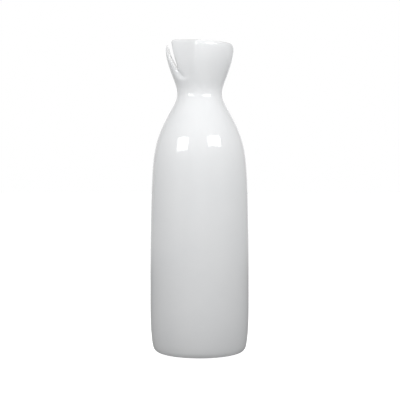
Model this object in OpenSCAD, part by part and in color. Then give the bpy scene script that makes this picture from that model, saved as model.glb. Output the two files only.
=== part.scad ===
// Tall glazed porcelain sake bottle with a flared collar and a pouring tongue.
// The bottle stands on Z = 0 with its axis on the Z axis. The pouring tongue points along -X.
// Angles round the collar are measured from the tongue.

/* [Body] */
// Widest diameter of the body
body_d = 59.8; // [50:0.2:72]
// Height of the heel curve, from the table to where the side begins
heel_h = 4.3; // [3.4:0.1:6]
// How far the top of the heel lies in from the widest radius
heel_in = 1.5; // [0.5:0.05:3]
// Height from the heel to the widest ring
belly_h = 23.7; // [18:0.2:32]
// Height of the nearly straight side
side_h = 74; // [55:0.5:95]
// How much the side draws in on each side on its way up
side_taper = 1.05; // [0:0.05:3]

/* [Foot] */
// How far the edge of the standing ring lies in from the widest radius
ring_in = 7.4; // [5:0.1:9]
// Width of the bare standing face
ring_w = 3.6; // [2.4:0.1:6]
// Height of the hollow under the floor
hollow_h = 1.8; // [1.2:0.1:3]
// Height of the glaze edge above the table
glaze_gap = 0.3; // [0.1:0.05:0.8]
// Rounding of the standing ring's edges
ring_round = 0.25; // [0.1:0.05:0.6]
// Thickness of the floor
floor_t = 4; // [3:0.1:6]
// How far the inner corner curve reaches over the floor
corner_in = 4.5; // [2:0.1:8]

/* [Shoulder and neck] */
// Height of the shoulder curve
shoulder_h = 42.2; // [34:0.2:52]
// Diameter where the shoulder turns into the throat
throat_d = 36.2; // [32:0.2:44]
// Height from the throat to the narrowest ring
throat_h = 11.1; // [9:0.1:15]
// Outer diameter of the narrowest ring
waist_d = 27.1; // [22:0.1:33]

/* [Collar] */
// Height from the narrowest ring to the foot of the collar piece
cuff_h = 7.7; // [6:0.1:10]
// How far the cuff flares out on each side
cuff_flare = 1.75; // [1:0.05:3]
// Height of the collar piece up to the rim
collar_h = 22; // [18:0.2:27]
// Outer diameter at the rim
rim_d = 41.2; // [36:0.2:50]

/* [Walls] */
// Wall of the body and the shoulder
wall = 3; // [2.2:0.1:4]
// Wall of the neck at its narrowest ring
neck_wall = 3.1; // [2.4:0.1:4.5]
// Wall of the collar just under the lip
lip_t = 2.3; // [1.6:0.1:3]
// Height of the rounded lip
lip_h = 2.8; // [1.2:0.1:4]

/* [Pouring mouth] */
// Depth of the two notches beside the tongue
notch_depth = 16.4; // [11:0.1:19]
// Half the angle that the tongue spans at its root
tongue_half = 31.8; // [25:0.1:34]
// Sharpness of the tongue's outline: lower is blunter
tongue_taper = 0.7; // [0.4:0.02:1]
// Height over which the tongue thins to its tip
tip_h = 5; // [2:0.1:8]
// Angle of each notch's far edge at the root of the tongue
notch_root_angle = 34.8; // [34:0.1:44]
// Angle of each notch's far edge at the rim
notch_rim_angle = 20.5; // [18:0.5:34]
// Angle of the middle of each pressed face
press_angle = 50; // [46:0.5:56]
// How far each pressed face is pushed in at the rim
press_in = 3.8; // [2:0.1:5]
// Hollow across each pressed face
press_dish = 0.35; // [0:0.05:1]
// How soon the pressing deepens above the cuff; 1 is evenly
press_growth = 0.62; // [0.5:0.02:1]
// Width of the soft ridge where a pressed face meets the round
press_ridge = 0.9; // [0.3:0.1:2]
// Dip of the wall beside the crease, at the notch root
dip_in = 0.7; // [0:0.05:1]
// Dip of the wall beside the notch's edge, at the rim
dip_rim = 0.35; // [0:0.05:1]
// Angle over which the dip runs out on the pressed side
dip_reach = 16; // [8:1:24]
// Angle over which the dip runs out on the tongue's side
dip_reach_back = 26; // [10:1:32]
// Angle over which the tongue's foot is drawn in to the crease
draw_reach = 34; // [10:1:50]
// How soon the tongue's drawn-in foot comes back to the flare
tongue_fade = 2.5; // [1:0.1:5]
// How much the rim rises along a pressed face towards the notch
rim_rise = 2.2; // [0:0.1:3]
// Angle where the crease under each notch fades out
crease_angle = 53; // [48:0.5:60]

/* [Hidden] */
$fn = 128;
glaze_white = [0.93, 0.935, 0.94];
bare_white = [0.88, 0.86, 0.82];

// Heights of the joints
belly_z = heel_h + belly_h;
side_z = belly_z + side_h;
throat_z = side_z + shoulder_h;
waist_z = throat_z + throat_h;
cuff_z = waist_z + cuff_h;
rim_z = cuff_z + collar_h;
notch_z = rim_z - notch_depth;
lip_z = rim_z - lip_h;

// Radii at the joints
body_r = body_d / 2;
ring_r = body_r - ring_in;
heel_r = body_r - heel_in;
side_r = body_r - side_taper;
throat_r = throat_d / 2;
waist_r = waist_d / 2;
cuff_r = waist_r + cuff_flare;
lip_r = rim_d / 2;

// Directions of the outline at the joints, as outward per upward
heel_lean = 0.2;
side_lean = -0.045;
throat_lean = -0.565;
cuff_lean = 0.38;
lip_lean = 0.06;

// A smooth stretch of outline from a to b, which leaves along da and arrives along db
function unit(v) = v / norm(v);
function stretch(a, da, ka, b, db, kb) =
    let (l = norm(b - a)) [a, a + unit(da) * ka * l, b - unit(db) * kb * l, b];
function at(p, t) =
    p[0] * pow(1 - t, 3) + p[1] * 3 * t * pow(1 - t, 2) + p[2] * 3 * t * t * (1 - t) + p[3] * pow(t, 3);
function trace(p, n) = [for (i = [0:n]) at(p, i / n)];
function back(v) = [for (i = [len(v) - 1:-1:0]) v[i]];
function rest(v) = [for (i = [1:len(v) - 1]) v[i]];
// Where a rising stretch reaches the height z, found by halving
function where(p, z, lo = 0, hi = 1, n = 24) =
    let (m = (lo + hi) / 2) n == 0 ? m : at(p, m)[1] < z ? where(p, z, m, hi, n - 1) : where(p, z, lo, m, n - 1);
// Radius of the inner face where the outer face leans: the wall is measured square to the outer face
function inside(r, lean, t) = r - t * norm([lean, 1]);
function clamp(x, lo = 0, hi = 1) = max(lo, min(hi, x));
function ease(x) = let (c = clamp(x)) c * c * (3 - 2 * c);

// Outer outline, bottom to top
heel_curve = stretch([ring_r, glaze_gap], [1, 0.12], 0.26, [heel_r, heel_h], [heel_lean, 1], 0.62);
belly_curve = stretch([heel_r, heel_h], [heel_lean, 1], 0.26, [body_r, belly_z], [0, 1], 0.31);
side_curve = stretch([body_r, belly_z], [0, 1], 0.27, [side_r, side_z], [side_lean, 1], 0.27);
shoulder_curve = stretch([side_r, side_z], [side_lean, 1], 0.43, [throat_r, throat_z], [throat_lean, 1], 0.41);
throat_curve = stretch([throat_r, throat_z], [throat_lean, 1], 0.5, [waist_r, waist_z], [0, 1], 0.27);
cuff_curve = stretch([waist_r, waist_z], [0, 1], 0.38, [cuff_r, cuff_z], [cuff_lean, 1], 0.38);
flare_curve = stretch([cuff_r, cuff_z], [cuff_lean, 1], 0.32, [lip_r, lip_z], [lip_lean, 1], 0.36);

// Inner outline
floor_z = hollow_h + floor_t;
bore_r = waist_r - neck_wall;
in_belly = [body_r - wall, belly_z];
in_low = [inside(heel_r + 1.1, 0.1, wall), floor_z + 7.2];
in_joint = [ring_r, floor_z + 1.5];
in_side = [inside(side_r, side_lean, wall), side_z];
in_throat = [inside(throat_r, throat_lean, wall), throat_z];
in_cuff = [inside(cuff_r, cuff_lean, neck_wall), cuff_z];
floor_curve = stretch([ring_r - corner_in, floor_z], [1, 0], 0.45, in_joint, [1, 0.8], 0.3);
corner_curve = stretch(in_joint, [1, 0.8], 0.35, in_low, [0.08, 1], 0.42);
in_belly_curve = stretch(in_low, [0.08, 1], 0.3, in_belly, [0, 1], 0.3);
in_side_curve = stretch(in_belly, [0, 1], 0.27, in_side, [side_lean, 1], 0.27);
in_shoulder_curve = stretch(in_side, [side_lean, 1], 0.43, in_throat, [throat_lean, 1], 0.39);
in_throat_curve = stretch(in_throat, [throat_lean, 1], 0.46, [bore_r, waist_z], [0, 1], 0.3);
in_cuff_curve = stretch([bore_r, waist_z], [0, 1], 0.38, in_cuff, [cuff_lean, 1], 0.38);

// Bare clay ring that the bottle stands on
module foot_ring() {
    c = ring_round;
    inner_r = ring_r - ring_w;
    color(bare_white)
        rotate_extrude()
            polygon([
                [inner_r + c, 0],
                [ring_r - c, 0],
                [ring_r, c],
                [ring_r, hollow_h],
                [inner_r - 0.4, hollow_h],
                [inner_r, c]
            ]);
}

// Floor disc, which rests on the ring and fills the foot of the wall
module base_floor() {
    color(glaze_white)
        rotate_extrude()
            polygon(concat(
                [[0, hollow_h], [ring_r, hollow_h]],
                back(trace(floor_curve, 6)),
                [[0, floor_z]]
            ));
}

// Heel, belly and side
module body_wall() {
    color(glaze_white)
        rotate_extrude()
            polygon(concat(
                trace(heel_curve, 8),
                rest(trace(belly_curve, 8)),
                rest(trace(side_curve, 12)),
                back(trace(in_side_curve, 12)),
                rest(back(trace(in_belly_curve, 5))),
                rest(back(trace(corner_curve, 7)))
            ));
}

// Shoulder dome, from the side to the throat
module shoulder() {
    color(glaze_white)
        rotate_extrude()
            polygon(concat(trace(shoulder_curve, 20), back(trace(in_shoulder_curve, 20))));
}

// Neck, from the throat through the narrowest ring to the cuff
module neck() {
    color(glaze_white)
        rotate_extrude()
            polygon(concat(
                trace(throat_curve, 9),
                rest(trace(cuff_curve, 7)),
                back(trace(in_cuff_curve, 7)),
                rest(back(trace(in_throat_curve, 9)))
            ));
}

// Collar: radius of the round flare at the height z
function flare_r(z) = z <= cuff_z ? cuff_r : z >= lip_z ? lip_r : at(flare_curve, where(flare_curve, z))[0];
// Wall of the collar, measured level, at the height z
function collar_wall(z) =
    let (s = clamp((z - cuff_z) / (lip_z - cuff_z)), low = cuff_r - in_cuff[0]) low + (lip_t - low) * s;
// How far the pressed face lies in from the round flare at its middle
function press_depth(z) = press_in * pow(clamp((z - cuff_z) / (rim_z - cuff_z)), press_growth);
// The lesser of two radii with a soft ridge of width k
function soft_min(a, b, k) = let (h = max(k - abs(a - b), 0) / k) min(a, b) - h * h * k / 4;
// Radius of the flare with its pressed faces, at the angle a from the tongue
function pressed_r(a, z) =
    let (f = flare_r(z), d = press_depth(z), off = abs(a - press_angle))
    off > 75 || d <= 0.01
        ? f
        : soft_min(f, (f - d) / cos(off) - press_dish * d / press_in * clamp(cos(off * 2.6)), min(press_ridge, d));
// Angle of the crease at the height z, under the notch
function crease_at(z) =
    crease_angle + (notch_root_angle - crease_angle) * clamp((z - cuff_z) / (notch_z - cuff_z));
// How far the wall dips at the angle off past the crease, or past the notch's edge above it
function crease_dip(off, z) =
    let (
        near = clamp(off > 0 ? 1 - off / dip_reach : 1 + off / dip_reach_back),
        deep = pow(clamp((z - cuff_z) / (notch_z - cuff_z)), 0.7)
    )
    (dip_in + (dip_rim - dip_in) * rise_share(z)) * deep * near * near;
// Below the notches: round in front, drawn in towards the crease, pressed past it
function ring_face(a, z) =
    let (off = a - crease_at(z), f = flare_r(z))
    f + ease(off / draw_reach + 1) * (pressed_r(a, z) - f) - crease_dip(off, z);

// The columns of the collar beside the notch are drawn over the pressed face as the notch widens
function rise_share(z) = clamp((z - notch_z) / (rim_z - notch_z));
function column_at(a, z) =
    a - (notch_root_angle - notch_rim_angle) * rise_share(z) * clamp(1 - (a - notch_root_angle) / 48);
function rim_lift(a) = rim_rise * pow(sin(90 * clamp((100 - a) / (100 - notch_rim_angle))), 1.2);

// Angles of the collar's columns: finer over the pressed face, with three close columns round the notch's edge
half_columns = concat(
    [for (e = [0, 1.2, 3.2]) notch_root_angle + e],
    [for (i = [1:11]) notch_root_angle + 3.2 + i * (92 - notch_root_angle - 3.2) / 11],
    [for (i = [1:13]) 92 + i * 88 / 13]
);
lobe_columns = concat(half_columns, [for (i = [len(half_columns) - 2:-1:0]) 360 - half_columns[i]]);
gap_count = 14;
gap_columns = [
    for (i = [1:gap_count]) 360 - notch_root_angle + i * 2 * notch_root_angle / (gap_count + 1)
];
columns = concat(lobe_columns, gap_columns);
// Each notch edge is rounded off: the wall thins and the rim drops over the last columns
edge_thin = [0.3, 0.72, 0.93];
edge_drop = [1.6, 0.5, 0.12];
function edge_rank(i) = min(i, len(lobe_columns) - 1 - i);
function thin(i) = edge_rank(i) < 3 ? edge_thin[edge_rank(i)] : 1;
function drop(i) = edge_rank(i) < 3 ? edge_drop[edge_rank(i)] : 0;
// The angle from the tongue, 0 to 180, on either side
function from_tongue(a) = abs(a > 180 ? a - 360 : a);
function place(r, a, z) = [-r * cos(a), -r * sin(a), z];

// Heights of the collar's rows below the notch root, and shares of the way up from there
ring_rows = 6;
function ring_z(j) = cuff_z + (notch_z - cuff_z) * j / ring_rows;
lobe_rows = 8;
lip_steps = [25, 50, 72, 108, 130, 155];

// One point of the collar's lobe. Steps 1 to lobe_rows climb the outer face, the lip steps
// go over the rim and the rest come down the inner face
function lobe_point(i, k) =
    let (
        base = lobe_columns[i],
        a0 = from_tongue(base),
        n = len(lip_steps),
        on_lip = k > lobe_rows && k <= lobe_rows + n,
        share = on_lip ? 1 : (k <= lobe_rows ? k : 2 * lobe_rows + n + 1 - k) / lobe_rows,
        z0 = notch_z + (lip_z - notch_z) * share,
        turn = on_lip ? lip_steps[k - lobe_rows - 1] : 0,
        zf = z0 + (on_lip ? lip_h * sin(turn) : 0),
        a = column_at(a0, zf),
        side = base > 180 ? -1 : 1,
        outer = pressed_r(a, z0) - crease_dip(a - column_at(notch_root_angle, zf), z0),
        t = collar_wall(z0),
        half = t / 2 * thin(i),
        mid = outer - t / 2,
        r = on_lip ? mid + half * cos(turn) : k <= lobe_rows ? mid + half : mid - half,
        z = zf + (rim_lift(a) - drop(i)) * ease(rise_share(zf) * 1.02)
    )
    place(r, side * a, z);

function quad(a, b, c, d) = [[a, b, c], [a, c, d]];
function flat(v) = [for (x = v) each x];

// Flared collar with a pressed face on each side, open at the tongue
module collar() {
    n = len(columns);
    m = len(lobe_columns);
    k_all = 2 * lobe_rows + len(lip_steps);
    outer = [for (j = [0:ring_rows]) for (a = columns)
        let (z = ring_z(j)) place(ring_face(from_tongue(a), z), a, z)];
    inner = [for (j = [0:ring_rows]) for (a = columns)
        let (z = ring_z(j)) place(ring_face(from_tongue(a), z) - collar_wall(z), a, z)];
    lobe = [for (i = [0:m - 1]) for (k = [1:k_all]) lobe_point(i, k)];
    in0 = n * (ring_rows + 1);
    lobe0 = 2 * in0;
    top = ring_rows * n;
    function o(i, j) = j * n + i % n;
    function q(i, j) = in0 + j * n + i % n;
    function l(i, k) = k == 0 ? top + i : k == k_all + 1 ? in0 + top + i : lobe0 + i * k_all + k - 1;
    walls = [for (j = [0:ring_rows - 1]) for (i = [0:n - 1]) each concat(
        quad(o(i, j), o(i, j + 1), o(i + 1, j + 1), o(i + 1, j)),
        quad(q(i, j), q(i + 1, j), q(i + 1, j + 1), q(i, j + 1))
    )];
    foot = [for (i = [0:n - 1]) each quad(q(i, 0), o(i, 0), o(i + 1, 0), q(i + 1, 0))];
    seat = [for (i = [m - 1:n - 1]) each
        quad(o(i, ring_rows), q(i, ring_rows), q(i + 1, ring_rows), o(i + 1, ring_rows))];
    shell = [for (i = [0:m - 2]) for (k = [0:k_all]) each quad(l(i, k), l(i, k + 1), l(i + 1, k + 1), l(i + 1, k))];
    ends = [for (k = [0:lobe_rows + len(lip_steps) / 2 - 1]) each concat(
        quad(l(0, k + 1), l(0, k), l(0, k_all + 1 - k), l(0, k_all - k)),
        quad(l(m - 1, k_all - k), l(m - 1, k_all + 1 - k), l(m - 1, k), l(m - 1, k + 1))
    )];
    color(glaze_white)
        polyhedron(points = concat(outer, inner, lobe), faces = concat(walls, foot, seat, shell, ends));
}

// Pouring tongue: a leaf that carries the round flare on between the two notches
tongue_shares = [0, 0.1, 0.22, 0.34, 0.46, 0.57, 0.67, 0.76, 0.84, 0.9, 0.95, 0.985];
tongue_across = [-1, -0.94, -0.8, -0.58, -0.3, 0, 0.3, 0.58, 0.8, 0.94, 1];
module pouring_tongue() {
    w = len(tongue_across);
    h = len(tongue_shares);
    function row_z(j) = notch_z + notch_depth * tongue_shares[j];
    function over_tip(z) = sqrt(max(0.05, 1 - pow(clamp((z - rim_z + tip_h) / tip_h), 2)));
    function over_edge(u, j) = j == 0 ? 1 : sqrt(max(0.09, 1 - pow(abs(u), 14)));
    function leaf(face) = [for (j = [0:h - 1]) for (u = tongue_across)
        let (
            z = row_z(j),
            a = u * tongue_half * pow(1 - tongue_shares[j], tongue_taper),
            t = collar_wall(z),
            drawn_in = flare_r(notch_z) - ring_face(abs(u) * tongue_half, notch_z),
            mid = flare_r(z) - drawn_in * pow(1 - tongue_shares[j], tongue_fade) - t / 2,
            r = mid + face * t / 2 * over_tip(z) * over_edge(u, j)
        )
        place(r, a, z)];
    b = w * h;
    function f(i, j) = j * w + i;
    faces = concat(
        [for (j = [0:h - 2]) for (i = [0:w - 2]) each concat(
            quad(f(i, j), f(i, j + 1), f(i + 1, j + 1), f(i + 1, j)),
            quad(b + f(i, j), b + f(i + 1, j), b + f(i + 1, j + 1), b + f(i, j + 1))
        )],
        [for (i = [0:w - 2]) each concat(
            quad(b + f(i, 0), f(i, 0), f(i + 1, 0), b + f(i + 1, 0)),
            quad(f(i, h - 1), b + f(i, h - 1), b + f(i + 1, h - 1), f(i + 1, h - 1))
        )],
        [for (j = [0:h - 2]) each concat(
            quad(f(0, j + 1), f(0, j), b + f(0, j), b + f(0, j + 1)),
            quad(f(w - 1, j), f(w - 1, j + 1), b + f(w - 1, j + 1), b + f(w - 1, j))
        )]
    );
    color(glaze_white)
        polyhedron(points = concat(leaf(1), leaf(-1)), faces = faces);
}

foot_ring();
base_floor();
body_wall();
shoulder();
neck();
collar();
pouring_tongue();
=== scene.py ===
"""Tall glazed porcelain sake bottle with a pressed collar, a pouring tongue and a bare foot ring."""

import math

import bmesh
import bpy
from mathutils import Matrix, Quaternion, Vector


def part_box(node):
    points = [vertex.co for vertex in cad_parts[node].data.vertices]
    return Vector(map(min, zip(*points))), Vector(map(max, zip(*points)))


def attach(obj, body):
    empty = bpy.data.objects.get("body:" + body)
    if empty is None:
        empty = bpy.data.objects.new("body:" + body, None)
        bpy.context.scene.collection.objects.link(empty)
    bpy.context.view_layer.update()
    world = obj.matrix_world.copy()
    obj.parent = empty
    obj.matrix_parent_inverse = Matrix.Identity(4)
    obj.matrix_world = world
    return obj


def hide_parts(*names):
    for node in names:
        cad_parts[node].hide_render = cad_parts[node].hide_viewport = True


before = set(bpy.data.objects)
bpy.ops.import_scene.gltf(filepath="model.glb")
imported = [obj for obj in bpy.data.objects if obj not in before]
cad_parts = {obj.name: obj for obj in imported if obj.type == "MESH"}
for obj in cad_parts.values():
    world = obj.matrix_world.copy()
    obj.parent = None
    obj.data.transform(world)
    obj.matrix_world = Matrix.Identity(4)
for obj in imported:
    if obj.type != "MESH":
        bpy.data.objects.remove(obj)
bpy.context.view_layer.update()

MM = 0.001


# ---------------------------------------------------------------- sizes, in millimetres


def node_corners(node):
    """Lowest and highest corner of a node, in millimetres."""
    low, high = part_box(node)
    return low / MM, high / MM


RING_BOX = node_corners("foot_ring")
WALL_BOX = node_corners("body_wall")
NECK_BOX = node_corners("neck")
TONGUE_BOX = node_corners("pouring_tongue")
FLOOR_BOX = node_corners("base_floor")

BODY_R = WALL_BOX[1].x
RING_R = RING_BOX[1].x
RING_W = 3.6
HOLLOW_Z = RING_BOX[1].z
FLOOR_Z = FLOOR_BOX[1].z - 1.5
GLAZE_Z = WALL_BOX[0].z
HEEL_Z = 4.3
BELLY_Z = 28.0
SIDE_Z = WALL_BOX[1].z
THROAT_Z = NECK_BOX[0].z
WAIST_Z = THROAT_Z + 11.1
CUFF_Z = NECK_BOX[1].z
NOTCH_Z = TONGUE_BOX[0].z
RIM_Z = CUFF_Z + 22.0
LIP_H = 2.8
LIP_Z = RIM_Z - LIP_H
NOTCH_DEPTH = RIM_Z - NOTCH_Z

HEEL_R = BODY_R - 1.5
SIDE_R = BODY_R - 1.05
THROAT_R = 18.1
WAIST_R = 13.55
CUFF_R = 15.3
LIP_R = 20.6
WALL_T = 3.0
NECK_T = 3.1
LIP_T = 2.3

# directions of the outline at its joints, outward and upward
HEEL_LEAN = (0.2, 1)
UPRIGHT = (0, 1)
SIDE_LEAN = (-0.045, 1)
THROAT_LEAN = (-0.565, 1)
CUFF_LEAN = (0.38, 1)
LIP_LEAN = (0.06, 1)

# the pouring mouth; angles are in degrees, measured round the collar from the tongue
TONGUE_HALF = 31.8
TONGUE_TAPER = 0.7
TONGUE_FADE = 2.5
TIP_H = 5.0
TIP_SHARE = 0.955
TIP_TOP = 0.99
TIP_THIN = 0.05
TONGUE_EDGE_THIN = 0.09
TONGUE_EDGE_TURN = 14
NOTCH_ROOT = 34.8
NOTCH_RIM = 20.5
CREASE_FOOT = 53.0
PRESS_MID = 50.0
PRESS_REACH = 75
PRESS_IN = 3.8
PRESS_GROWTH = 0.62
PRESS_RIDGE = 0.9
DIP_IN = 0.7
DIP_RIM = 0.35
DIP_GROWTH = 0.7
DIP_REACH = 16
DIP_REACH_BACK = 26
DRAW_REACH = 34
PRESS_DISH = 0.35
DISH_TURN = 2.6
RIM_RISE = 2.2
RIM_RISE_REACH = 100
RIM_RISE_GROWTH = 1.2
DRAWN_OVER = 48

# columns of the wall: the tongue, one for each notch, and the rest for the collar
COLUMNS = 128
COLUMN_STEP = 360 / COLUMNS
TONGUE_EDGE = 12
LOBE_EDGE = TONGUE_EDGE + 1
HALF_WAY = COLUMNS // 2

BESIDE_NOTCH = (0, 1.2, 3.2)
LEAN_REACH = 90

# rows of the collar, and how the lip rolls over
CREASE_ROWS = 6
LOBE_ROWS = 9
LIP_TURNS = (25, 50, 72, 108, 130, 155)

# thickness and drop of the first three columns beside a notch, which round its edge off
EDGE_THIN = (0.3, 0.72, 0.93)
EDGE_DROP = (1.6, 0.5, 0.12)


# ---------------------------------------------------------------- outline of the wall


def stretch(start, leave, grip, end, arrive, hold):
    """Four points of a smooth stretch of outline; grip and hold are handle lengths over its chord."""
    first, last = Vector(start), Vector(end)
    chord = (last - first).length
    return (
        first,
        first + Vector(leave).normalized() * grip * chord,
        last - Vector(arrive).normalized() * hold * chord,
        last,
    )


def on_stretch(curve, t):
    s = 1 - t
    return curve[0] * s**3 + curve[1] * 3 * t * s * s + curve[2] * 3 * t * t * s + curve[3] * t**3


def trace(curve, steps, skip_first=True):
    """Points along a stretch from its first end; the shared first point is left out by default."""
    first = 1 if skip_first else 0
    return [tuple(on_stretch(curve, i / steps)) for i in range(first, steps + 1)]


def trace_down(curve, steps, skip_first=True):
    return trace([*reversed(curve)], steps, skip_first)


def inner_r(radius, lean, thickness):
    """Radius of the inner face where the outer face leans."""
    return radius - thickness * math.hypot(lean[0] / lean[1], 1)


def clamp(x, low=0.0, high=1.0):
    return max(low, min(high, x))


def ease(x):
    c = clamp(x)
    return c * c * (3 - 2 * c)


HEEL = stretch((RING_R, GLAZE_Z), (1, 0.12), 0.26, (HEEL_R, HEEL_Z), HEEL_LEAN, 0.62)
BELLY = stretch((HEEL_R, HEEL_Z), HEEL_LEAN, 0.26, (BODY_R, BELLY_Z), UPRIGHT, 0.31)
SIDE = stretch((BODY_R, BELLY_Z), UPRIGHT, 0.27, (SIDE_R, SIDE_Z), SIDE_LEAN, 0.27)
SHOULDER = stretch((SIDE_R, SIDE_Z), SIDE_LEAN, 0.43, (THROAT_R, THROAT_Z), THROAT_LEAN, 0.41)
THROAT = stretch((THROAT_R, THROAT_Z), THROAT_LEAN, 0.5, (WAIST_R, WAIST_Z), UPRIGHT, 0.27)
CUFF = stretch((WAIST_R, WAIST_Z), UPRIGHT, 0.38, (CUFF_R, CUFF_Z), CUFF_LEAN, 0.38)
FLARE = stretch((CUFF_R, CUFF_Z), CUFF_LEAN, 0.32, (LIP_R, LIP_Z), LIP_LEAN, 0.36)

IN_FLOOR = (RING_R - 4.5, FLOOR_Z)
IN_JOINT = (RING_R, FLOOR_Z + 1.5)
IN_LOW = (inner_r(HEEL_R + 1.1, (0.1, 1), WALL_T), FLOOR_Z + 7.2)
IN_BELLY = (BODY_R - WALL_T, BELLY_Z)
IN_SIDE = (inner_r(SIDE_R, SIDE_LEAN, WALL_T), SIDE_Z)
IN_THROAT = (inner_r(THROAT_R, THROAT_LEAN, WALL_T), THROAT_Z)
IN_WAIST = (WAIST_R - NECK_T, WAIST_Z)
IN_CUFF = (inner_r(CUFF_R, CUFF_LEAN, NECK_T), CUFF_Z)
INNER_FLOOR = stretch(IN_FLOOR, (1, 0), 0.45, IN_JOINT, (1, 0.8), 0.3)
INNER_CORNER = stretch(IN_JOINT, (1, 0.8), 0.35, IN_LOW, (0.08, 1), 0.42)
INNER_BELLY = stretch(IN_LOW, (0.08, 1), 0.3, IN_BELLY, UPRIGHT, 0.3)
INNER_SIDE = stretch(IN_BELLY, UPRIGHT, 0.27, IN_SIDE, SIDE_LEAN, 0.27)
INNER_SHOULDER = stretch(IN_SIDE, SIDE_LEAN, 0.43, IN_THROAT, THROAT_LEAN, 0.39)
INNER_THROAT = stretch(IN_THROAT, THROAT_LEAN, 0.46, IN_WAIST, UPRIGHT, 0.3)
INNER_CUFF = stretch(IN_WAIST, UPRIGHT, 0.38, IN_CUFF, CUFF_LEAN, 0.38)


# ---------------------------------------------------------------- shape of the collar


def flare_r(z):
    """Radius of the round flare at the height z."""
    if z <= CUFF_Z:
        return CUFF_R
    if z >= LIP_Z:
        return LIP_R
    low, high = 0.0, 1.0
    for _ in range(24):
        middle = (low + high) / 2
        if on_stretch(FLARE, middle)[1] < z:
            low = middle
        else:
            high = middle
    return on_stretch(FLARE, low)[0]


def collar_t(z):
    """Wall of the collar, measured level."""
    foot_t = CUFF_R - IN_CUFF[0]
    return foot_t + (LIP_T - foot_t) * clamp((z - CUFF_Z) / (LIP_Z - CUFF_Z))


def press_depth(z):
    """How far the pressed faces lie in from the round flare at their middle."""
    return PRESS_IN * clamp((z - CUFF_Z) / (RIM_Z - CUFF_Z)) ** PRESS_GROWTH


def soft_min(a, b, ridge):
    """The lesser of two radii with a soft ridge between them."""
    h = max(ridge - abs(a - b), 0) / ridge
    return min(a, b) - h * h * ridge / 4


def pressed_r(angle, z):
    """Radius of the flare with its two pressed faces."""
    round_r = flare_r(z)
    depth = press_depth(z)
    off = abs(angle - PRESS_MID)
    if off > PRESS_REACH or depth <= 0.01:
        return round_r
    flat_r = (round_r - depth) / math.cos(math.radians(off))
    dish = PRESS_DISH * depth / PRESS_IN * clamp(math.cos(math.radians(off * DISH_TURN)))
    return soft_min(round_r, flat_r - dish, min(PRESS_RIDGE, depth))


def crease_at(z):
    """Angle of the crease that runs down from the root of each notch."""
    share = clamp((z - CUFF_Z) / (NOTCH_Z - CUFF_Z))
    return CREASE_FOOT + (NOTCH_ROOT - CREASE_FOOT) * share


def rise_share(z):
    """How far up the notch a height is, from 0 at its root to 1 at the rim."""
    return clamp((z - NOTCH_Z) / NOTCH_DEPTH)


def crease_dip(off, z):
    """How far the wall dips beside the crease, and beside the notch's edge above it."""
    if off > 0:
        near = clamp(1 - off / DIP_REACH)
    else:
        near = clamp(1 + off / DIP_REACH_BACK)
    deep = clamp((z - CUFF_Z) / (NOTCH_Z - CUFF_Z)) ** DIP_GROWTH
    return (DIP_IN + (DIP_RIM - DIP_IN) * rise_share(z)) * deep * near * near


def drawn_angle(angle, z):
    """The collar's columns are drawn over the pressed face as the notch widens."""
    pull = (NOTCH_ROOT - NOTCH_RIM) * rise_share(z)
    return angle - pull * clamp(1 - (angle - NOTCH_ROOT) / DRAWN_OVER)


def rim_lift(angle):
    """How much the rim rises towards the notch."""
    share = clamp((RIM_RISE_REACH - angle) / (RIM_RISE_REACH - NOTCH_RIM))
    return RIM_RISE * math.sin(math.radians(90 * share)) ** RIM_RISE_GROWTH


def place(radius, angle, z):
    """A point in metres; angles go from the tongue, which points along -X, towards -Y."""
    a = math.radians(angle)
    return Vector((-radius * math.cos(a), -radius * math.sin(a), z)) * MM


def column_angle(rank):
    """Angle of a column at the notch's root; columns are closer beside the notch."""
    if rank <= TONGUE_EDGE:
        t = rank / TONGUE_EDGE
        return TONGUE_HALF * (0.6 * t + 0.4 * math.sin(math.pi / 2 * t))
    step = rank - LOBE_EDGE
    if step < len(BESIDE_NOTCH):
        return NOTCH_ROOT + BESIDE_NOTCH[step]
    first = len(BESIDE_NOTCH) - 1
    start = NOTCH_ROOT + BESIDE_NOTCH[-1]
    return start + (180 - start) * (step - first) / (HALF_WAY - LOBE_EDGE - first)


def leaned_angle(rank, z):
    """Below the notches the columns follow the crease, and lower still they spread out evenly."""
    angle = column_angle(rank)
    if angle <= TONGUE_HALF:
        share = angle / NOTCH_ROOT
    else:
        share = clamp(1 - (angle - NOTCH_ROOT) / LEAN_REACH)
    creased = angle + (crease_at(z) - NOTCH_ROOT) * share
    even = rank * COLUMN_STEP
    return even + (creased - even) * ease((z - THROAT_Z) / (CUFF_Z - THROAT_Z))


def creased_r(angle, z):
    """Radius below the notches: round in front, drawn in towards the crease, pressed past it."""
    off = angle - crease_at(z)
    round_r = flare_r(z)
    drawn = ease(off / DRAW_REACH + 1)
    return round_r + drawn * (pressed_r(angle, z) - round_r) - crease_dip(off, z)


def lobe_spot(rank, row):
    """Radius, angle and height on the collar above the root of the notches."""
    share, turn = row["share"], row["turn"]
    z0 = NOTCH_Z + (LIP_Z - NOTCH_Z) * share
    z = z0 + LIP_H * math.sin(math.radians(turn))
    angle = drawn_angle(column_angle(rank), z)
    step = rank - LOBE_EDGE
    thin = EDGE_THIN[step] if step < len(EDGE_THIN) else 1
    drop = EDGE_DROP[step] if step < len(EDGE_DROP) else 0
    thickness = collar_t(z0)
    edge = drawn_angle(NOTCH_ROOT, z)
    middle = pressed_r(angle, z0) - crease_dip(angle - edge, z0) - thickness / 2
    radius = middle + thickness / 2 * thin * math.cos(math.radians(turn))
    z += (rim_lift(angle) - drop) * ease(rise_share(z) * 1.02)
    return radius, angle, z


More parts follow.
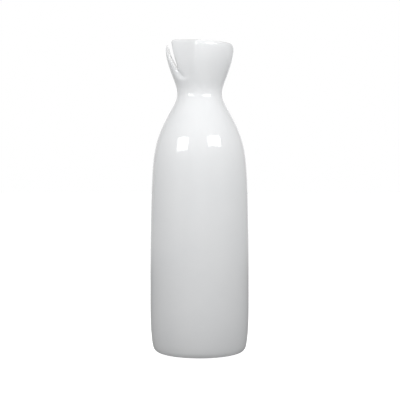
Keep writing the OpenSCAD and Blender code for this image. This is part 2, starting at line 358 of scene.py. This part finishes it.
def tongue_spot(rank, row):
    """Radius, angle and height on the tongue."""
    share, turn = row["share"] * TIP_SHARE, row["turn"]
    share += (TIP_TOP - TIP_SHARE) * math.sin(math.radians(turn))
    z = NOTCH_Z + NOTCH_DEPTH * share
    base_z = NOTCH_Z + NOTCH_DEPTH * min(share, TIP_SHARE)
    across = column_angle(rank) / TONGUE_HALF
    angle = across * TONGUE_HALF * (1 - share) ** TONGUE_TAPER
    over_tip = math.sqrt(max(TIP_THIN, 1 - clamp((base_z - RIM_Z + TIP_H) / TIP_H) ** 2))
    over_edge = math.sqrt(max(TONGUE_EDGE_THIN, 1 - across**TONGUE_EDGE_TURN))
    thickness = collar_t(z)
    foot_angle = column_angle(rank)
    drawn_in = (flare_r(NOTCH_Z) - creased_r(foot_angle, NOTCH_Z)) * (1 - share) ** TONGUE_FADE
    radius = flare_r(z) - drawn_in - thickness / 2
    radius += thickness / 2 * over_tip * over_edge * math.cos(math.radians(turn))
    return radius, angle, z


# ---------------------------------------------------------------- tools of the bench


def clear_selection():
    if bpy.context.object and bpy.context.object.mode != "OBJECT":
        bpy.ops.object.mode_set(mode="OBJECT")
    bpy.ops.object.select_all(action="DESELECT")


def edit(piece):
    """Opens a piece for editing with nothing selected."""
    clear_selection()
    bpy.context.view_layer.objects.active = piece
    piece.select_set(True)
    bpy.ops.object.mode_set(mode="EDIT")
    bpy.ops.mesh.select_mode(type="VERT")
    bpy.ops.mesh.select_all(action="DESELECT")
    shape = bmesh.from_edit_mesh(piece.data)
    shape.verts.ensure_lookup_table()
    return shape


def leave(piece):
    bpy.ops.object.mode_set(mode="OBJECT")
    piece.select_set(False)


def draw_up(name, rings):
    """A round wall drawn up ring by ring from one circle; rings are (radius, height) in millimetres."""
    clear_selection()
    radius, height = rings[0]
    bpy.ops.mesh.primitive_circle_add(
        vertices=COLUMNS, radius=radius * MM, fill_type="NOTHING", location=(0, 0, height * MM)
    )
    piece = bpy.context.object
    piece.name = name
    piece.data.name = name
    bpy.ops.object.transform_apply(location=True, rotation=True, scale=True)
    bpy.ops.object.mode_set(mode="EDIT")
    bpy.ops.mesh.select_all(action="SELECT")
    for (radius, height), (next_radius, next_height) in zip(rings, rings[1:]):
        rise = (0, 0, (next_height - height) * MM)
        spread = next_radius / radius
        bpy.ops.mesh.extrude_region_move(TRANSFORM_OT_translate={"value": rise})
        bpy.ops.transform.resize(value=(spread, spread, 1), center_override=(0, 0, 0))
    leave(piece)
    return piece


def smooth(piece, levels):
    """A subdivision surface, applied, and smooth shading."""
    clear_selection()
    bpy.context.view_layer.objects.active = piece
    piece.select_set(True)
    softening = piece.modifiers.new("softening", "SUBSURF")
    softening.levels = levels
    softening.render_levels = levels
    bpy.ops.object.modifier_apply(modifier=softening.name)
    bpy.ops.object.shade_smooth()
    clear_selection()


# ---------------------------------------------------------------- the glazed bottle


def wall_rows():
    """Every ring of the glazed wall in order, from the middle of the hollow to the middle of the floor."""
    ring_in = RING_R - RING_W
    rows = []

    def add(outline):
        rows.extend({"radius": r, "z": z, "zone": "round"} for r, z in outline)

    # radius and height of each ring: the hollow under the floor, then the seat of the bare ring
    hollow = [(1.2, HOLLOW_Z), (5, HOLLOW_Z), (10, HOLLOW_Z), (14.5, HOLLOW_Z), (17.2, HOLLOW_Z)]
    hollow += [(18.1, 1.72), (18.5, 1.45), (18.65, 1.05), (ring_in - 0.12, 0.72), (ring_in, 0.5)]
    seat = [(ring_in + 0.3, 0.48), (ring_in + 1.2, 0.6), (RING_R - 1.2, 0.6), (RING_R - 0.25, 0.42)]
    add(hollow)
    add(seat)
    add(trace(HEEL, 9, skip_first=False))
    add(trace(BELLY, 6))
    add(trace(SIDE, 10))
    add(trace(SHOULDER, 12))
    add(trace(THROAT, 6))
    add(trace(CUFF, 5))
    collar = []
    for row in range(1, CREASE_ROWS + 1):
        z = CUFF_Z + (NOTCH_Z - CUFF_Z) * row / CREASE_ROWS
        collar.append({"zone": "crease", "z": z, "turn": 0})
    for row in range(1, LOBE_ROWS + 1):
        share = row / LOBE_ROWS
        collar.append({"zone": "lobe", "z": NOTCH_Z + (LIP_Z - NOTCH_Z) * share, "share": share, "turn": 0})
    inside = [dict(row, turn=180) for row in reversed(collar)]
    lip = [
        {"zone": "lobe", "z": LIP_Z + LIP_H * math.sin(math.radians(turn)), "share": 1, "turn": turn}
        for turn in LIP_TURNS
    ]
    for row in collar + lip + inside:
        z0 = min(row["z"], LIP_Z)
        lean = math.cos(math.radians(row["turn"]))
        row["radius"] = flare_r(z0) - collar_t(z0) / 2 * (1 - lean)
        rows.append(row)
    add(trace_down(INNER_CUFF, 5, skip_first=False))
    add(trace_down(INNER_THROAT, 6))
    add(trace_down(INNER_SHOULDER, 12))
    add(trace_down(INNER_SIDE, 7))
    add(trace_down(INNER_BELLY, 4))
    add(trace_down(INNER_CORNER, 5))
    add(trace_down(INNER_FLOOR, 5))
    add([(13, FLOOR_Z), (7, FLOOR_Z), (1.2, FLOOR_Z)])
    return rows


def rank_of(column):
    """How many columns away from the tongue's middle, and on which side."""
    return (column, 1) if column <= HALF_WAY else (COLUMNS - column, -1)


def column_of(point):
    """The column of the even round wall that a point stands on."""
    angle = math.degrees(math.atan2(-point.y, -point.x)) % 360
    return round(angle / COLUMN_STEP) % COLUMNS


# where the glaze gathers, greyer with painted shade in the crease, beside the notch root and at the foot,
# and where it draws back: reaches in millimetres of height and degrees round the collar
FOOT_POOL_AND_SHADE = 0.5
FOOT_POOL_AND_SHADE_REACH = 1.6
CREASE_POOL_AND_SHADE_RISE = 2.5
CREASE_POOL_AND_SHADE_REACH = 9
NOTCH_POOL_AND_SHADE_REACH = 10
NOTCH_POOL_AND_SHADE_FADE = 1.8
CREST_SHARPNESS = 6
EDGE_BARE = 0.6


def write_values(mesh, name, kind, values):
    """Keeps one value for every point of the mesh under the given name."""
    layer = mesh.attributes.new(name, kind, "POINT")
    layer.data.foreach_set("value", values)


def glaze_pool_and_shade(rank, row):
    """How thickly the glaze has gathered, a mask that also paints shade: in the crease, under the notch,
    and in the corner of the foot.
    """
    zone, z = row["zone"], row["z"]
    if zone == "round":
        return FOOT_POOL_AND_SHADE * ease(1 - abs(z - GLAZE_Z) / FOOT_POOL_AND_SHADE_REACH) if z > 0.4 else 0.0
    if row["turn"]:
        return 0.0
    if zone == "crease":
        off = leaned_angle(rank, z) - crease_at(z)
        return ease((z - CUFF_Z) / CREASE_POOL_AND_SHADE_RISE) * ease(1 - abs(off - 2) / CREASE_POOL_AND_SHADE_REACH)
    if rank <= TONGUE_EDGE:
        return 0.0
    near = ease(1 - (column_angle(rank) - NOTCH_ROOT) / NOTCH_POOL_AND_SHADE_REACH)
    return near * ease(1 - row["share"] * NOTCH_POOL_AND_SHADE_FADE)


def glaze_thin(rank, row):
    """How far the glaze has drawn back: on the crest of the lip and on the edges of the notches."""
    if row["zone"] != "lobe":
        return 0.0
    crest = math.sin(math.radians(row["turn"])) ** CREST_SHARPNESS
    on_edge = EDGE_BARE if rank in (TONGUE_EDGE, LOBE_EDGE) else 0.0
    return max(crest, on_edge)


def press_collar(piece, rows, columns):
    """Moves the round wall's points to the pressed faces, the creases, the lifted rim and the tongue."""
    pooled_and_shaded, thinned = [], []
    for vertex in piece.data.vertices:
        row = rows[vertex.index // COLUMNS]
        rank, side = rank_of(columns[vertex.index])
        zone, z = row["zone"], row["z"]
        # the gathered-glaze mask, which also carries painted shade in the crease, beside the notch root and
        # at the foot
        pooled_and_shaded.append(glaze_pool_and_shade(rank, row))
        thinned.append(glaze_thin(rank, row))
        if zone == "round":
            if z > THROAT_Z:
                vertex.co = place(row["radius"], side * leaned_angle(rank, z), z)
            continue
        if zone == "crease":
            angle = leaned_angle(rank, z)
            radius = creased_r(angle, z) - (collar_t(z) if row["turn"] else 0)
        elif rank <= TONGUE_EDGE:
            radius, angle, z = tongue_spot(rank, row)
        else:
            radius, angle, z = lobe_spot(rank, row)
        vertex.co = place(radius, side * angle, z)
    write_values(piece.data, "pool_and_shade", "FLOAT", pooled_and_shaded)
    write_values(piece.data, "thin", "FLOAT", thinned)


def cut_notches(piece, rows, columns):
    """Cuts the column of wall on each side of the tongue, and closes the cut with the wall's thickness."""
    lobe = [i for i, row in enumerate(rows) if row["zone"] == "lobe"]
    root_out, root_in = lobe[0] - 1, lobe[-1] + 1
    crest = (root_out + root_in) // 2
    for side in (1, -1):
        edges = {(side * TONGUE_EDGE) % COLUMNS, (side * LOBE_EDGE) % COLUMNS}
        shape = edit(piece)
        ring = shape.verts.layers.int["ring"]
        column = shape.verts.layers.int["column"]
        for face in shape.faces:
            inside = all(v[column] in edges and root_out <= v[ring] <= root_in for v in face.verts)
            face.select_set(inside)
        bmesh.update_edit_mesh(piece.data)
        bpy.ops.mesh.select_mode(type="FACE")
        bpy.ops.mesh.delete(type="FACE")
        bpy.ops.mesh.select_mode(type="EDGE")
        bpy.ops.mesh.select_all(action="DESELECT")
        shape = bmesh.from_edit_mesh(piece.data)
        ring = shape.verts.layers.int["ring"]
        column = shape.verts.layers.int["column"]
        for edge in shape.edges:
            ends = [v[ring] for v in edge.verts]
            on_cut = all(v[column] in edges and root_out <= v[ring] <= root_in for v in edge.verts)
            over_crest = min(ends) <= crest < max(ends)
            edge.select_set(edge.is_boundary and on_cut and not over_crest)
        bmesh.update_edit_mesh(piece.data)
        bpy.ops.mesh.bridge_edge_loops()
        leave(piece)


def close_poles(piece):
    """Closes the middles of the hollow and of the floor."""
    for height in (HOLLOW_Z, FLOOR_Z):
        shape = edit(piece)
        for vertex in shape.verts:
            near = math.hypot(vertex.co.x, vertex.co.y) < 2 * MM
            vertex.select_set(near and abs(vertex.co.z - height * MM) < 0.1 * MM)
        shape.select_flush_mode()
        bmesh.update_edit_mesh(piece.data)
        bpy.ops.mesh.edge_face_add()
        bpy.ops.mesh.poke()
        leave(piece)


def make_bottle():
    """The whole glazed wall, outside and inside, with its collar and tongue."""
    rows = wall_rows()
    piece = draw_up("glazed_bottle", [(row["radius"], row["z"]) for row in rows])
    mesh = piece.data
    columns = [column_of(v.co) for v in mesh.vertices]
    write_values(mesh, "ring", "INT", [i // COLUMNS for i in range(len(columns))])
    write_values(mesh, "column", "INT", columns)
    press_collar(piece, rows, columns)
    cut_notches(piece, rows, columns)
    close_poles(piece)
    for helper in ("ring", "column"):
        mesh.attributes.remove(mesh.attributes[helper])
    edit(piece)
    bpy.ops.mesh.select_all(action="SELECT")
    bpy.ops.mesh.normals_make_consistent(inside=False)
    leave(piece)
    smooth(piece, 1)
    return piece


bottle = make_bottle()


# ---------------------------------------------------------------- the bare foot ring


def make_foot_ring():
    """The unglazed ring that the bottle stands on; its top sits hidden in the glazed foot."""
    ring_in = RING_R - RING_W
    middle = (ring_in + RING_R) / 2
    # radius and height round the ring's section, from its inner top down to the table and back up
    section = [(ring_in + 0.1, 0.9), (ring_in + 0.06, 0.45), (ring_in + 0.1, 0.2)]
    section += [(ring_in + 0.28, 0.05), (ring_in + 0.55, 0), (middle, 0), (RING_R - 0.55, 0)]
    section += [(RING_R - 0.28, 0.05), (RING_R - 0.1, 0.2), (RING_R - 0.08, 0.45)]
    section += [(RING_R - 0.2, 0.9), (middle, 0.95), (ring_in + 0.1, 0.9)]
    piece = draw_up("bare_foot_ring", section)
    edit(piece)
    bpy.ops.mesh.select_all(action="SELECT")
    bpy.ops.mesh.remove_doubles(threshold=0.01 * MM)
    bpy.ops.mesh.normals_make_consistent(inside=False)
    leave(piece)
    smooth(piece, 1)
    return piece


foot = make_foot_ring()


# ---------------------------------------------------------------- finishes


def blank_material(name):
    """A material with one plain surface shader, ready for its detail."""
    material = bpy.data.materials.new(name)
    material.use_nodes = True
    tree = material.node_tree
    tree.nodes.clear()
    out = tree.nodes.new("ShaderNodeOutputMaterial")
    shader = tree.nodes.new("ShaderNodeBsdfPrincipled")
    tree.links.new(shader.outputs["BSDF"], out.inputs["Surface"])
    return material, tree, shader


def add_node(tree, kind, values=None, links=None, **settings):
    """A node with its settings, its fixed inputs and its links made in one go."""
    made = tree.nodes.new(kind)
    for key, value in settings.items():
        setattr(made, key, value)
    for key, value in (values or {}).items():
        made.inputs[key].default_value = value
    for key, source in (links or {}).items():
        tree.links.new(source, made.inputs[key])
    return made


def new_group(name, inputs, outputs):
    """An empty node group whose inputs and outputs are all single values."""
    tree = bpy.data.node_groups.new(name, "ShaderNodeTree")
    for label in inputs:
        tree.interface.new_socket(label, in_out="INPUT", socket_type="NodeSocketFloat")
    for label in outputs:
        tree.interface.new_socket(label, in_out="OUTPUT", socket_type="NodeSocketFloat")
    return tree, tree.nodes.new("NodeGroupInput"), tree.nodes.new("NodeGroupOutput")


KILN_MARK_SIZES = ("Cloud Scale", "Speck Scale", "Speck Size", "Speck Share", "Skin Scale")


def kiln_marks_group():
    """Cloudy tone, tiny specks and skin relief, as clay and glaze take them in the kiln."""
    tree, given, result = new_group("kiln marks", KILN_MARK_SIZES, ("Cloud", "Speck", "Skin"))
    spot = add_node(tree, "ShaderNodeTexCoord").outputs["Object"]
    cloud = add_node(
        tree,
        "ShaderNodeTexNoise",
        {"Detail": 3, "Roughness": 0.55},
        {"Vector": spot, "Scale": given.outputs["Cloud Scale"]},
    )
    cells = add_node(
        tree,
        "ShaderNodeTexVoronoi",
        {"Randomness": 1},
        {"Vector": spot, "Scale": given.outputs["Speck Scale"]},
    )
    lot = add_node(tree, "ShaderNodeSeparateColor", links={"Color": cells.outputs["Color"]})
    chosen = add_node(tree, "ShaderNodeMath", operation="LESS_THAN")
    tree.links.new(lot.outputs["Red"], chosen.inputs[0])
    tree.links.new(given.outputs["Speck Share"], chosen.inputs[1])
    dot = add_node(
        tree,
        "ShaderNodeMapRange",
        {"From Min": 0, "To Min": 1, "To Max": 0},
        {"Value": cells.outputs["Distance"], "From Max": given.outputs["Speck Size"]},
        interpolation_type="SMOOTHSTEP",
    )
    speck = add_node(tree, "ShaderNodeMath", operation="MULTIPLY")
    tree.links.new(chosen.outputs[0], speck.inputs[0])
    tree.links.new(dot.outputs["Result"], speck.inputs[1])
    skin = add_node(
        tree,
        "ShaderNodeTexNoise",
        {"Detail": 2, "Roughness": 0.45},
        {"Vector": spot, "Scale": given.outputs["Skin Scale"]},
    )
    tree.links.new(cloud.outputs["Fac"], result.inputs["Cloud"])
    tree.links.new(speck.outputs[0], result.inputs["Speck"])
    tree.links.new(skin.outputs["Fac"], result.inputs["Skin"])
    return tree


KILN_MARKS = kiln_marks_group()

GLAZE_WHITE = (0.82, 0.828, 0.835)
GLAZE_CLOUD = (0.795, 0.806, 0.816)
# greyer gathered glaze, also used as painted shade in the crease, beside the notch root and at the foot
GLAZE_POOLED_AND_SHADED = (0.735, 0.75, 0.76)
GLAZE_THIN = (0.84, 0.835, 0.82)
GLAZE_SPECK = (0.45, 0.42, 0.38)
GLAZE_IOR = 1.5
CLAY_WHITE = (0.76, 0.74, 0.70)
CLAY_CLOUD = (0.68, 0.65, 0.60)
CLAY_SPECK = (0.34, 0.28, 0.22)


def place_marks(tree, cloud, speck, size, share, skin):
    """The kiln marks at the given sizes, in a material."""
    made = tree.nodes.new("ShaderNodeGroup")
    made.node_tree = KILN_MARKS
    for label, value in zip(KILN_MARK_SIZES, (cloud, speck, size, share, skin)):
        made.inputs[label].default_value = value
    return made


def tint(tree, base, over, share):
    """Lays one colour over another by a varying share."""
    mix = tree.nodes.new("ShaderNodeMix")
    mix.data_type = "RGBA"
    for socket, value in ((6, base), (7, over)):
        if isinstance(value, tuple):
            mix.inputs[socket].default_value = (*value, 1)
        else:
            tree.links.new(value, mix.inputs[socket])
    tree.links.new(share, mix.inputs[0])
    return mix.outputs[2]


def ranged(tree, value, low, high, to_low, to_high):
    """Carries a value from one range over to another, held at its ends."""
    made = add_node(
        tree,
        "ShaderNodeMapRange",
        {"From Min": low, "From Max": high, "To Min": to_low, "To Max": to_high},
        {"Value": value},
    )
    return made.outputs["Result"]


def add_relief(tree, shader, height, strength, depth):
    """Fine relief of the surface; depth is in millimetres."""
    values = {"Strength": strength, "Distance": depth * MM}
    relief = add_node(tree, "ShaderNodeBump", values, {"Height": height})
    tree.links.new(relief.outputs["Normal"], shader.inputs["Normal"])


def glazed_porcelain():
    """A glossy cool white, greyer where the glaze gathers, with painted shade in the crease, beside the
    notch root and at the foot, and warmer where it is thin.
    """
    material, tree, shader = blank_material("glazed_porcelain")
    marks = place_marks(tree, cloud=34, speck=520, size=0.09, share=0.018, skin=260)
    cloud = ranged(tree, marks.outputs["Cloud"], 0.3, 0.7, 0, 1)
    tone = tint(tree, GLAZE_WHITE, GLAZE_CLOUD, cloud)
    # greyer where the glaze gathers; this also paints shade into the crease, beside the notch root and at
    # the foot
    pool_and_shade = add_node(tree, "ShaderNodeAttribute", attribute_name="pool_and_shade")
    pooled_and_shaded = tint(tree, tone, GLAZE_POOLED_AND_SHADED, pool_and_shade.outputs["Fac"])
    thin = add_node(tree, "ShaderNodeAttribute", attribute_name="thin")
    thinned = tint(tree, pooled_and_shaded, GLAZE_THIN, thin.outputs["Fac"])
    speck_share = ranged(tree, marks.outputs["Speck"], 0, 1, 0, 0.35)
    specked = tint(tree, thinned, GLAZE_SPECK, speck_share)
    tree.links.new(specked, shader.inputs["Base Color"])
    gloss = ranged(tree, marks.outputs["Cloud"], 0.25, 0.75, 0.05, 0.09)
    tree.links.new(gloss, shader.inputs["Roughness"])
    add_relief(tree, shader, marks.outputs["Skin"], 1, 0.012)
    shader.inputs["IOR"].default_value = GLAZE_IOR
    return material


def bare_porcelain():
    """Matt, slightly warm fired clay with more specks than the glaze."""
    material, tree, shader = blank_material("bare_porcelain")
    marks = place_marks(tree, cloud=90, speck=1500, size=0.22, share=0.06, skin=2600)
    cloud = ranged(tree, marks.outputs["Cloud"], 0.3, 0.7, 0, 1)
    tone = tint(tree, CLAY_WHITE, CLAY_CLOUD, cloud)
    speck_share = ranged(tree, marks.outputs["Speck"], 0, 1, 0, 0.5)
    specked = tint(tree, tone, CLAY_SPECK, speck_share)
    tree.links.new(specked, shader.inputs["Base Color"])
    matt = ranged(tree, marks.outputs["Skin"], 0.3, 0.7, 0.68, 0.86)
    tree.links.new(matt, shader.inputs["Roughness"])
    add_relief(tree, shader, marks.outputs["Skin"], 0.8, 0.03)
    return material


def give(piece, material, slot, *nodes):
    """Gives a piece its material, hangs it under the root body and hides the nodes of the part it stands
    for.
    """
    piece.data.materials.clear()
    piece.data.materials.append(material)
    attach(piece, "root")
    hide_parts(*nodes)


GLAZED_NODES = ("base_floor", "body_wall", "shoulder", "neck", "collar", "pouring_tongue")
give(bottle, glazed_porcelain(), "glazed_porcelain", *GLAZED_NODES)
give(foot, bare_porcelain(), "bare_porcelain", "foot_ring")


# ---------------------------------------------------------------- table, light and camera

TABLE_SIZE = 24
TABLE_PALE = (0.86, 0.86, 0.86)
TABLE_GRAIN = (0.82, 0.82, 0.82)
TABLE_GLOW = 0.85
LIGHT_AIM = (0, 0, 0.124)

# brightness of the room by height, from -1 straight down to 1 straight up, for the bottle to reflect
FRONT_LEVELS = (
    (-1, 0.8),
    (-0.8, 0.56),
    (-0.6, 0.47),
    (-0.5, 0.08),
    (0.2, 0.02),
    (0.6, 0.1),
    (0.85, 0.3),
    (1, 0.4),
)
SIDE_LEVELS = (
    (-1, 0.8),
    (-0.8, 0.56),
    (-0.6, 0.44),
    (-0.5, 0.1),
    (-0.1, 0.15),
    (-0.06, 0.54),
    (0.34, 0.54),
    (0.5, 0.35),
    (1, 0.4),
)
FRONT_ENDS = (-0.85, -0.6)
WHITE = (1.0, 1.0, 1.0)
BACK_WALL_EDGE = math.cos(math.radians(25))
BACK_WALL_SOFTNESS = 0.01

CAMERA_PLACE = (0, -0.5246, 0.0992)
CAMERA_LENS = 78.1
CAMERA_SHIFT = (0.00105, -0.032)


def make_table():
    """A pale glowing table that the camera sees and the bottle doesn't."""
    clear_selection()
    bpy.ops.mesh.primitive_plane_add(size=TABLE_SIZE, location=(0, 0, 0))
    table = bpy.context.object
    table.name = "table"
    clear_selection()
    material, tree, shader = blank_material("pale_table")
    spot = add_node(tree, "ShaderNodeTexCoord").outputs["Object"]
    grain = add_node(tree, "ShaderNodeTexNoise", {"Scale": 3, "Detail": 2}, {"Vector": spot})
    tone = tint(tree, TABLE_PALE, TABLE_GRAIN, grain.outputs["Fac"])
    tree.links.new(tone, shader.inputs["Base Color"])
    shader.inputs["Roughness"].default_value = 0.9
    shader.inputs["Emission Color"].default_value = (1, 1, 1, 1)
    shader.inputs["Emission Strength"].default_value = TABLE_GLOW
    table.data.materials.append(material)
    table.visible_diffuse = False
    table.visible_glossy = False


def make_softbox(name, middle, width, height, roll, power, shines=True):
    """A soft panel turned to face the bottle; without shines it leaves no reflection."""
    light = bpy.data.lights.new(name, "AREA")
    light.shape = "RECTANGLE"
    light.size = width
    light.size_y = height
    light.energy = power
    holder = bpy.data.objects.new(name, light)
    bpy.context.scene.collection.objects.link(holder)
    aim = Vector(LIGHT_AIM) - Vector(middle)
    turned = aim.to_track_quat("-Z", "Y")
    turned.rotate(Quaternion(aim.normalized(), math.radians(roll)))
    holder.location = middle
    holder.rotation_mode = "QUATERNION"
    holder.rotation_quaternion = turned
    holder.visible_camera = False
    holder.visible_glossy = shines


def level_ramp(tree, height, stops):
    """A grey that follows the given brightness at each height."""
    ramp = add_node(tree, "ShaderNodeValToRGB", links={"Fac": height})
    marks = ramp.color_ramp.elements
    while len(marks) < len(stops):
        marks.new(0.5)
    for mark, (spot, level) in zip(marks, stops):
        mark.position = (spot + 1) / 2
        mark.color = (level, level, level, 1)
    return ramp.outputs["Color"]


def make_room():
    """White to the eye; for the bottle, pale side walls, a white wall behind and a dim floor."""
    world = bpy.data.worlds.new("room")
    bpy.context.scene.world = world
    world.use_nodes = True
    tree = world.node_tree
    tree.nodes.clear()
    out = tree.nodes.new("ShaderNodeOutputWorld")
    way = add_node(tree, "ShaderNodeTexCoord").outputs["Generated"]
    parts = add_node(tree, "ShaderNodeSeparateXYZ", links={"Vector": way})
    height = ranged(tree, parts.outputs["Z"], -1, 1, 0, 1)
    at_side = ranged(tree, parts.outputs["Y"], *FRONT_ENDS, 0, 1)
    front = level_ramp(tree, height, FRONT_LEVELS)
    side = level_ramp(tree, height, SIDE_LEVELS)
    walls = tint(tree, front, side, at_side)
    edge = (BACK_WALL_EDGE - BACK_WALL_SOFTNESS, BACK_WALL_EDGE + BACK_WALL_SOFTNESS)
    behind = ranged(tree, parts.outputs["Y"], *edge, 0, 1)
    backed = tint(tree, walls, WHITE, behind)
    sees = add_node(tree, "ShaderNodeLightPath").outputs["Is Camera Ray"]
    shade = tint(tree, backed, WHITE, sees)
    glow = add_node(tree, "ShaderNodeBackground", {"Strength": 1}, {"Color": shade})
    tree.links.new(glow.outputs["Background"], out.inputs["Surface"])


def make_camera():
    """A level camera in front of the bottle, framed by a small shift."""
    lens = bpy.data.cameras.new("camera")
    holder = bpy.data.objects.new("camera", lens)
    bpy.context.scene.collection.objects.link(holder)
    lens.sensor_width = 36
    lens.lens = CAMERA_LENS
    lens.shift_x, lens.shift_y = CAMERA_SHIFT
    lens.clip_start = 0.01
    lens.clip_end = 100
    holder.location = CAMERA_PLACE
    holder.rotation_euler = (math.radians(90), 0, 0)
    bpy.context.scene.camera = holder


make_table()
make_room()
# place, width, height, roll in degrees and power in watts
make_softbox("left_softbox", (-0.304, -0.292, 0.335), 0.23, 0.125, -8, 0.68)
make_softbox("right_softbox", (0.268, -0.306, 0.361), 0.275, 0.107, 5, 0.82)
make_softbox("front_fill", (0, -0.3, 0.25), 0.2, 0.15, 0, 0.4, shines=False)
make_softbox("left_fill", (-0.14, 0.03, 0.17), 0.06, 0.09, 0, 0.022, shines=False)
make_softbox("right_fill", (0.14, 0.03, 0.17), 0.06, 0.09, 0, 0.024, shines=False)
make_softbox("back_fill", (0, 0.34, 0.28), 0.3, 0.2, 0, 0.9, shines=False)
make_camera()
bpy.context.scene.view_settings.view_transform = "Standard"
